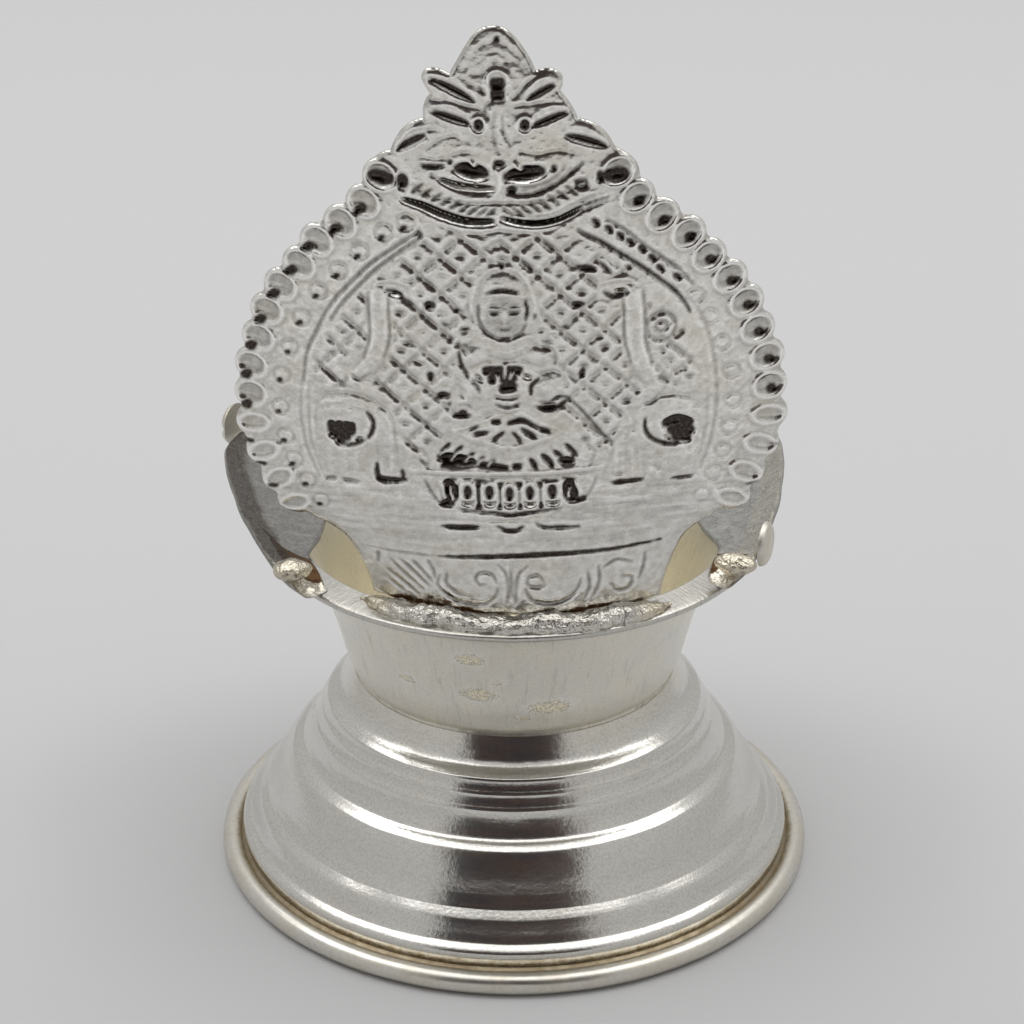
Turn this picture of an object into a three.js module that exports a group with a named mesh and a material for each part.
import * as THREE from 'three';

// A small silver oil lamp. Lengths are in millimetres, +Z is up, and the spout points along +Y.
// The origin is the centre of the foot on the surface that the lamp stands on.

// Driving dimensions

const wireRadius = 0.75;
const ringFlatDepth = 0.05;
const seamGap = 0.2;

const footHeight = 13;
const footRadius = 19.3;
const footWall = 0.7;
const footLedge = 0.46;
const footLift = 0.3;

const cupFootRadius = 11.2;
const cupMouthRadius = 14.35;
const cupHeight = 10.8;
const cupWall = 0.55;
const lipWidth = 2.05;
const lipThickness = 0.5;
const lipDroop = 0.3;

const ringSolderSize = 0.5;
const cupSolderSize = 0.35;

const plateHeight = 36.5;
const plateHalfWidth = 16.9;
const plateThickness = 0.45;
const plateSetBack = 0.25;
const plateUpperRadius = 45;
const plateFlattenHeight = 8;
const plateLean = THREE.MathUtils.degToRad(1.9);
const plateTurn = THREE.MathUtils.degToRad(-2.4);
const reliefDepth = 1;
const beadRadius = 1.05;
const beadDepth = 0.6;
const beadCount = 14;
const tipHalfWidth = 0.2;

const traySheet = 0.5;
const trayRise = 2.1;
const trayWidth = 9;
const trayOverhang = 1.95;
const trayShift = -0.3;
const trayTurn = THREE.MathUtils.degToRad(3);
const trayEndAngle = THREE.MathUtils.degToRad(128);

const roundelRadius = 1.5;
const roundelThickness = 0.45;
const roundelDome = 0.4;

const plateSolderHeight = 0.9;
const plateSolderDepth = 1.1;
const traySolderLength = 1.1;
const traySolderWidth = 0.75;
const traySolderHeight = 0.35;

// Mesh steps

const turnSteps = 48;
const wireSteps = 12;
const plateColumns = 36;
const trayColumns = 40;
const trayRows = 4;
const solderSteps = 16;

// The columns of the plate crowd towards its beaded edge by this share of a sine spacing
const edgeCrowdingShare = 0.4;

// The notch between two beads lies this share of a bead's radius outside their centre line
const notchShare = 0.62;

// Places worked out from the sizes

const wireCentreRadius = footRadius + wireRadius;
const wireCentreHeight = wireRadius - ringFlatDepth;
const footTopRadius = cupFootRadius + footLedge;
const cupBase = footHeight + seamGap;
const lipTop = cupBase + cupHeight;
const deck = lipTop + seamGap;
const lipRadius = cupMouthRadius + lipWidth;
const plateFootRadius = cupMouthRadius + plateSetBack;
const trayOpeningRadius = cupMouthRadius - trayOverhang;

// Finishes

const finishes = {
  polishedSilver: new THREE.MeshStandardMaterial({ color: 0xd6d4ce, roughness: 0.22, metalness: 1 }),
  warmSilver: new THREE.MeshStandardMaterial({ color: 0xcfcabd, roughness: 0.34, metalness: 1 }),
  matteSilver: new THREE.MeshStandardMaterial({ color: 0xa9abaa, roughness: 0.65, metalness: 0.9 }),
  solder: new THREE.MeshStandardMaterial({ color: 0xd9cfae, roughness: 0.3, metalness: 0.9 }),
  fluxSolder: new THREE.MeshStandardMaterial({ color: 0xa99362, roughness: 0.5, metalness: 0.6 }),
};

const lamp = new THREE.Group();

function addMesh(name, geometry, finish, parent = lamp) {
  const mesh = new THREE.Mesh(geometry, finish.clone());
  mesh.name = name;
  parent.add(mesh);
  return mesh;
}

// A turned piece: its outline is a list of [radius, height] pairs, up the outside and down the inside.
function addTurned(name, outline, finish) {
  const points = outline.map(([radius, height]) => new THREE.Vector2(radius, height));
  const mesh = addMesh(name, new THREE.LatheGeometry(points, turnSteps), finish);
  mesh.rotation.x = Math.PI / 2;
  return mesh;
}

// A sheet from two grids of points of the same size, its outer face and its inner face.
function sheetGeometry(outer, inner) {
  const rows = outer.length;
  const columns = outer[0].length;
  const positions = [...outer.flat(), ...inner.flat()].flatMap((point) => point.toArray());
  const innerStart = rows * columns;
  const indices = [];
  const quad = (a, b, c, d) => indices.push(a, b, c, a, c, d);
  for (let row = 0; row + 1 < rows; row += 1) {
    for (let column = 0; column + 1 < columns; column += 1) {
      const a = row * columns + column;
      const b = a + 1;
      const c = b + columns;
      const d = a + columns;
      quad(a, b, c, d);
      quad(innerStart + d, innerStart + c, innerStart + b, innerStart + a);
    }
  }
  const loop = [];
  for (let column = 0; column + 1 < columns; column += 1) {
    loop.push(column);
  }
  for (let row = 0; row + 1 < rows; row += 1) {
    loop.push(row * columns + columns - 1);
  }
  for (let column = columns - 1; column > 0; column -= 1) {
    loop.push((rows - 1) * columns + column);
  }
  for (let row = rows - 1; row > 0; row -= 1) {
    loop.push(row * columns);
  }
  loop.forEach((from, index) => {
    const to = loop[(index + 1) % loop.length];
    quad(from, innerStart + from, innerStart + to, to);
  });
  const geometry = new THREE.BufferGeometry();
  geometry.setAttribute('position', new THREE.Float32BufferAttribute(positions, 3));
  geometry.setIndex(indices);
  return geometry;
}

// The value at a place along a table of [place share, value share] pairs, in straight steps.
function alongTable(table, place) {
  const last = table.length - 1;
  const step = table.findIndex(([start]) => start > place);
  if (step === 0) {
    return table[0][1];
  }
  if (step < 0) {
    return table[last][1];
  }
  const [low, lowValue] = table[step - 1];
  const [high, highValue] = table[step];
  return THREE.MathUtils.mapLinear(place, low, high, lowValue, highValue);
}

// Wire ring round the foot, filed flat underneath

function buildBaseRing() {
  const flatAngle = Math.acos(wireCentreHeight / wireRadius);
  const outline = [];
  for (let step = 0; step <= wireSteps; step += 1) {
    const angle = -Math.PI / 2 + flatAngle + (2 * (Math.PI - flatAngle) * step) / wireSteps;
    outline.push([
      wireCentreRadius + wireRadius * Math.cos(angle),
      wireCentreHeight + wireRadius * Math.sin(angle),
    ]);
  }
  outline.push(outline[0]);
  addTurned('base_ring', outline, finishes.polishedSilver);
}

// Stepped foot. Outside points are [share of the way out from the top radius to the foot's radius,
// share of the height], from the lower edge up.

const footOutsideShares = [
  [0.975, 0.023],
  [0.987, 0.115],
  [1, 0.172],
  [0.975, 0.203],
  [0.904, 0.242],
  [0.823, 0.315],
  [0.747, 0.382],
  [0.72, 0.402],
  [0.661, 0.46],
  [0.586, 0.532],
  [0.533, 0.596],
  [0.47, 0.635],
  [0.368, 0.658],
  [0.336, 0.67],
  [0.288, 0.745],
  [0.272, 0.768],
  [0.23, 0.792],
  [0.209, 0.828],
  [0.179, 0.846],
  [0.176, 0.872],
  [0.098, 0.904],
  [0.035, 0.944],
  [-0, 1],
];

// Inside points are the same kind of shares, measured to the inner face of the thin shell.
const footInsideShares = [
  [-0, 1],
  [0.075, 0.905],
  [0.179, 0.845],
  [0.336, 0.66],
  [0.52, 0.6],
  [0.72, 0.4],
  [0.899, 0.24],
  [0.962, 0.023],
];

function buildFootSkirt() {
  const footPoint = ([radiusShare, heightShare]) => [
    THREE.MathUtils.lerp(footTopRadius, footRadius, radiusShare),
    heightShare * footHeight,
  ];
  const outside = footOutsideShares.map(footPoint);
  const inside = footInsideShares.map(footPoint).map(([radius, height]) => [radius - footWall, height]);
  outside[0][1] = footLift;
  inside[inside.length - 1][1] = footLift;
  addTurned('foot_skirt', [...outside, ...inside, outside[0]], finishes.polishedSilver);
}

// Solder line in the groove between the wire ring and the foot

function buildRingSolder() {
  const innerRadius = footRadius + seamGap;
  const low = wireCentreHeight + wireRadius + seamGap;
  addTurned(
    'base_ring_solder',
    [
      [innerRadius, low],
      [innerRadius + ringSolderSize, low],
      [innerRadius + ringSolderSize / 2, low + ringSolderSize / 2],
      [innerRadius, low + ringSolderSize],
      [innerRadius, low],
    ],
    finishes.fluxSolder,
  );
}

// Oil cup: wall points are [share from foot radius to mouth radius, share of the height under the lip]

const cupWallShares = [
  [0.03, 0.08],
  [0.19, 0.18],
  [0.43, 0.42],
  [0.68, 0.66],
  [0.9, 0.86],
];

function cupWallPoint([radiusShare, heightShare]) {
  const wallHeight = cupHeight - lipThickness;
  return [
    THREE.MathUtils.lerp(cupFootRadius, cupMouthRadius, radiusShare),
    cupBase + heightShare * wallHeight,
  ];
}

function buildCup() {
  const outside = cupWallShares.map(cupWallPoint);
  const inside = cupWallShares
    .map(cupWallPoint)
    .reverse()
    .map(([radius, height]) => [radius - cupWall, height]);
  const floorTop = cupBase + cupWall;
  inside[inside.length - 1] = [cupFootRadius - 2 * cupWall, floorTop];
  addTurned(
    'cup',
    [
      [0, cupBase],
      [cupFootRadius, cupBase],
      ...outside,
      [cupMouthRadius + cupWall / 2, lipTop - lipThickness - lipDroop / 2],
      [lipRadius - cupWall / 2, lipTop - lipDroop - lipThickness],
      [lipRadius, lipTop - lipDroop - lipThickness / 2],
      [lipRadius - cupWall / 2, lipTop - lipDroop],
      [cupMouthRadius + cupWall / 2, lipTop],
      [cupMouthRadius, lipTop - lipThickness / 2],
      ...inside,
      [0, floorTop],
    ],
    finishes.warmSilver,
  );
}

// Solder line where the cup stands on the foot

function buildCupSeamSolder() {
  const innerRadius = cupFootRadius + seamGap + seamGap / 2;
  addTurned(
    'cup_seam_solder',
    [
      [innerRadius, cupBase],
      [innerRadius + cupSolderSize, cupBase],
      [innerRadius + cupSolderSize / 2, cupBase + cupSolderSize / 2],
      [innerRadius, cupBase + cupSolderSize],
      [innerRadius, cupBase],
    ],
    finishes.fluxSolder,
  );
}

// Back plate. Heights are shares of the plate's height, widths are shares of its half width.

// The neck from the lip up to the lower shoulder
const neckShares = [
  [0, 0.53],
  [0.03, 0.545],
  [0.06, 0.56],
  [0.087, 0.58],
  [0.113, 0.605],
  [0.135, 0.64],
  [0.15, 0.7],
  [0.16, 0.8],
];

// The leaves and the finial above the beads
const crownShares = [
  [0.785, 0.45],
  [0.803, 0.39],
  [0.818, 0.37],
  [0.835, 0.345],
  [0.85, 0.3],
  [0.858, 0.265],
  [0.872, 0.252],
  [0.889, 0.236],
  [0.905, 0.228],
  [0.92, 0.24],
  [0.929, 0.232],
  [0.934, 0.148],
  [0.948, 0.126],
  [0.962, 0.108],
  [0.976, 0.084],
  [0.989, 0.046],
];

// The line that the bead centres follow, from the lower shoulder up to the leaves: [across, up]
const beadLineShares = [
  [0.81, 0.189],
  [0.9, 0.266],
  [0.94, 0.36],
  [0.925, 0.44],
  [0.865, 0.52],
  [0.735, 0.608],
  [0.57, 0.685],
  [0.41, 0.765],
];

// Hollows of the relief: [across, up, half width, half height, depth, tilt in half turns]
const hollowShares = [
  [0, 0.538, 0.086, 0.046, 0.62, 0],
  [0, 0.587, 0.08, 0.032, 0.45, 0],
  [0, 0.457, 0.14, 0.046, 0.6, 0],
  [0, 0.402, 0.075, 0.035, 0.45, 0],
  [0, 0.342, 0.17, 0.03, 0.42, 0],
  [0, 0.296, 0.29, 0.035, 0.55, 0],
  [0, 0.226, 0.26, 0.036, 0.55, 0],
  [0, 0.766, 0.26, 0.025, 0.65, 0],
  [0, 0.907, 0.04, 0.024, 0.5, 0],
];

// The same kind of hollows, once on each side
const pairedHollowShares = [
  [0.598, 0.334, 0.13, 0.044, 0.72, 0],
  [0.61, 0.27, 0.08, 0.036, 0.35, 0],
  [0.438, 0.315, 0.035, 0.06, 0.4, 0],
  [0.45, 0.49, 0.035, 0.095, 0.42, 0],
  [0.385, 0.576, 0.075, 0.02, 0.4, 0],
  [0.16, 0.44, 0.035, 0.045, 0.35, 0.1],
  [0.195, 0.386, 0.065, 0.02, 0.35, 0.1],
  [0.254, 0.549, 0.035, 0.02, 0.35, 0],
  [0.15, 0.905, 0.1, 0.014, 0.45, 0.1],
  [0.16, 0.858, 0.1, 0.014, 0.45, 0.08],
  [0.3, 0.812, 0.09, 0.014, 0.45, -0.12],
];

const beadCurve = new THREE.CatmullRomCurve3(
  beadLineShares.map(([across, up]) => new THREE.Vector3(across * plateHalfWidth, up * plateHeight, 0)),
);
const beads = beadCurve.getSpacedPoints(beadCount - 1);

// The rows of the plate from the foot to the tip: [height, half width]
function plateRows() {
  const scale = ([up, across]) => [up * plateHeight, across * plateHalfWidth];
  const rows = neckShares.map(scale);
  beads.forEach((bead, index) => {
    rows.push([bead.y, bead.x + beadRadius]);
    if (index + 1 < beads.length) {
      const next = beads[index + 1];
      rows.push([(bead.y + next.y) / 2, (bead.x + next.x) / 2 + beadRadius * notchShare]);
    }
  });
  rows.push(...crownShares.map(scale));
  rows.push([plateHeight, tipHalfWidth]);
  return rows;
}

// How far a hollow is pressed in at a distance from its centre, given as a share of its size
function pressed(distanceShare) {
  return distanceShare < 1 ? (1 - distanceShare ** 2) ** 2 : 0;
}

function hollowDepth(across, up, [acrossShare, upShare, widthShare, heightShare, depthShare, tiltShare]) {
  const tilt = tiltShare * Math.PI;
  const dx = across - acrossShare * plateHalfWidth;
  const dy = up - upShare * plateHeight;
  const along = (dx * Math.cos(tilt) + dy * Math.sin(tilt)) / (widthShare * plateHalfWidth);
  const aside = (dy * Math.cos(tilt) - dx * Math.sin(tilt)) / (heightShare * plateHeight);
  return depthShare * reliefDepth * pressed(Math.hypot(along, aside));
}

function relief(across, up) {
  const side = Math.abs(across);
  const depths = [
    ...hollowShares.map((hollow) => hollowDepth(across, up, hollow)),
    ...pairedHollowShares.map((hollow) => hollowDepth(side, up, hollow)),
    ...beads.map((bead) => beadDepth * pressed(Math.hypot(side - bead.x, up - bead.y) / beadRadius)),
  ];
  return Math.max(...depths);
}

// A point of the bent plate: round the lip at its foot, flatter above, with the relief pressed in
function platePoint(across, up, depth) {
  const flatShare = THREE.MathUtils.smoothstep(up, 0, plateFlattenHeight);
  const bend = THREE.MathUtils.lerp(1 / plateFootRadius, 1 / plateUpperRadius, flatShare);
  const sag = 1 / bend - Math.sqrt(1 / bend ** 2 - across ** 2);
  const x = across - up * Math.sin(plateLean);
  const z = up + across * Math.sin(plateLean * flatShare);
  return new THREE.Vector3(x, sag + depth, z);
}

function buildBackPlate(parent) {
  const outer = [];
  const inner = [];
  plateRows().forEach(([up, halfWidth]) => {
    const outerRow = [];
    const innerRow = [];
    for (let column = 0; column <= plateColumns; column += 1) {
      const even = (2 * column) / plateColumns - 1;
      const crowded = Math.sin((even * Math.PI) / 2);
      const across = halfWidth * THREE.MathUtils.lerp(even, crowded, edgeCrowdingShare);
      const depth = relief(across, up);
      outerRow.push(platePoint(across, up, depth));
      innerRow.push(platePoint(across, up, depth + plateThickness));
    }
    outer.push(outerRow);
    inner.push(innerRow);
  });
  addMesh('back_plate', sheetGeometry(outer, inner), finishes.polishedSilver, parent);
}

// Solder bead along the foot of the plate, on the outer half of the lip: [out from the plate, up]
const plateSolderShares = [
  [1, 0],
  [0.85, 0.6],
  [0.4, 1],
];

function buildPlateSolder(parent) {
  const halfWidth = neckShares[0][1] * plateHalfWidth;
  const arcPoint = (across, out, up) => {
    const angle = Math.asin(across / plateFootRadius);
    const radius = plateFootRadius + out;
    return new THREE.Vector3(radius * Math.sin(angle), plateFootRadius - radius * Math.cos(angle), up);
  };
  const outer = [];
  const inner = [];
  plateSolderShares.forEach(([outShare, upShare]) => {
    const outerRow = [];
    const innerRow = [];
    for (let step = 0; step <= solderSteps; step += 1) {
      const across = halfWidth * ((2 * step) / solderSteps - 1);
      const up = upShare * plateSolderHeight;
      outerRow.push(arcPoint(across, seamGap + outShare * plateSolderDepth, up));
      innerRow.push(arcPoint(across, seamGap, up));
    }
    outer.push(outerRow);
    inner.push(innerRow);
  });
  addMesh('plate_solder', sheetGeometry(outer, inner), finishes.solder, parent);
}

// The plate and its solder stand together on the near side of the lip
function buildPlateGroup() {
  const group = new THREE.Group();
  group.position.set(0, -plateFootRadius, deck);
  group.rotation.z = plateTurn;
  lamp.add(group);
  buildBackPlate(group);
  buildPlateSolder(group);
}

// Leaf-shaped tray: [share of the end angle from the spout round to the back, inner edge as a share of
// the opening's radius, outer edge as a share of the tray's width, rise of the outer edge]
const trayShares = [
  [0, 1, 0.893, 0.15],
  [0.055, 1, 0.822, 0.15],
  [0.11, 1, 0.798, 0.75],
  [0.18, 1, 0.798, 1],
  [0.273, 1, 0.869, 1],
  [0.39, 1, 0.964, 1],
  [0.469, 1, 1, 1],
  [0.531, 1, 0.952, 1],
  [0.586, 1, 0.834, 0.98],
  [0.648, 1, 0.729, 0.92],
  [0.703, 1.01, 0.655, 0.85],
  [0.758, 1.03, 0.62, 0.74],
  [0.812, 1.07, 0.584, 0.62],
  [0.859, 1.15, 0.577, 0.5],
  [0.89, 1.2, 0.572, 0.38],
  [0.922, 1.21, 0.567, 0.26],
  [0.961, 1.22, 0.553, 0.16],
  [1, 1.26, 0.501, 0.08],
];

function trayValue(angleShare, column) {
  return alongTable(trayShares.map((row) => [row[0], row[column]]), Math.abs(angleShare));
}

function trayEdge(angleShare) {
  return {
    inner: trayOpeningRadius * trayValue(angleShare, 1),
    outer: trayOpeningRadius + trayWidth * trayValue(angleShare, 2),
    rise: trayRise * trayValue(angleShare, 3),
  };
}

function buildTraySheet(parent) {
  const top = [];
  const bottom = [];
  for (let row = 0; row <= trayRows; row += 1) {
    const out = row / trayRows;
    const topRow = [];
    const bottomRow = [];
    for (let column = 0; column <= trayColumns; column += 1) {
      const angleShare = (2 * column) / trayColumns - 1;
      const angle = angleShare * trayEndAngle;
      const edge = trayEdge(angleShare);
      const radius = THREE.MathUtils.lerp(edge.inner, edge.outer, out);
      const height = edge.rise * out ** 2;
      const x = radius * Math.sin(angle);
      const y = radius * Math.cos(angle);
      topRow.push(new THREE.Vector3(x, y, height + traySheet));
      bottomRow.push(new THREE.Vector3(x, y, height));
    }
    top.push(topRow);
    bottom.push(bottomRow);
  }
  addMesh('spout_tray', sheetGeometry(top, bottom), finishes.matteSilver, parent);
}

// Where each solder joint lies: round the tray as a share of the end angle, and out across its width
const traySolderShare = 0.96;
const traySolderOutShare = 0.62;

function buildTraySolder(name, side, parent) {
  const geometry = new THREE.SphereGeometry(1, solderSteps, solderSteps / 2);
  geometry.scale(traySolderWidth, traySolderLength, traySolderHeight);
  const solder = addMesh(name, geometry, finishes.solder, parent);
  const angle = side * traySolderShare * trayEndAngle;
  const edge = trayEdge(traySolderShare);
  const radius = THREE.MathUtils.lerp(edge.inner, edge.outer, traySolderOutShare);
  const height = traySheet + edge.rise * traySolderOutShare + seamGap + traySolderHeight;
  solder.position.set(radius * Math.sin(angle), radius * Math.cos(angle), height);
  solder.rotation.z = -angle - Math.PI / 2;
}

// Round bosses on the outer edge of the tray: [name, share of the end angle]
const roundelShares = [
  ['roundel_left', -0.469],
  ['roundel_right', 0.883],
];

function buildRoundel(name, angleShare, parent) {
  const outline = [
    [0, 0],
    [roundelRadius, 0],
    [roundelRadius, roundelThickness],
    [roundelRadius * Math.SQRT1_2, roundelThickness + roundelDome * Math.SQRT1_2],
    [0, roundelThickness + roundelDome],
  ];
  const points = outline.map(([radius, height]) => new THREE.Vector2(radius, height));
  const roundel = addMesh(name, new THREE.LatheGeometry(points, solderSteps), finishes.polishedSilver, parent);
  const angle = angleShare * trayEndAngle;
  const edge = trayEdge(angleShare);
  const radius = edge.outer + seamGap;
  roundel.position.set(radius * Math.sin(angle), radius * Math.cos(angle), edge.rise + traySheet);
  roundel.rotation.z = -angle;
}

// The tray with what is soldered to it rests on the lip
function buildTrayGroup() {
  const group = new THREE.Group();
  group.position.set(trayShift, 0, deck);
  group.rotation.z = trayTurn;
  lamp.add(group);
  buildTraySheet(group);
  buildTraySolder('tray_solder_left', -1, group);
  buildTraySolder('tray_solder_right', 1, group);
  roundelShares.forEach(([name, angleShare]) => buildRoundel(name, angleShare, group));
}

buildBaseRing();
buildRingSolder();
buildFootSkirt();
buildCup();
buildCupSeamSolder();
buildTrayGroup();
buildPlateGroup();

export default lamp;
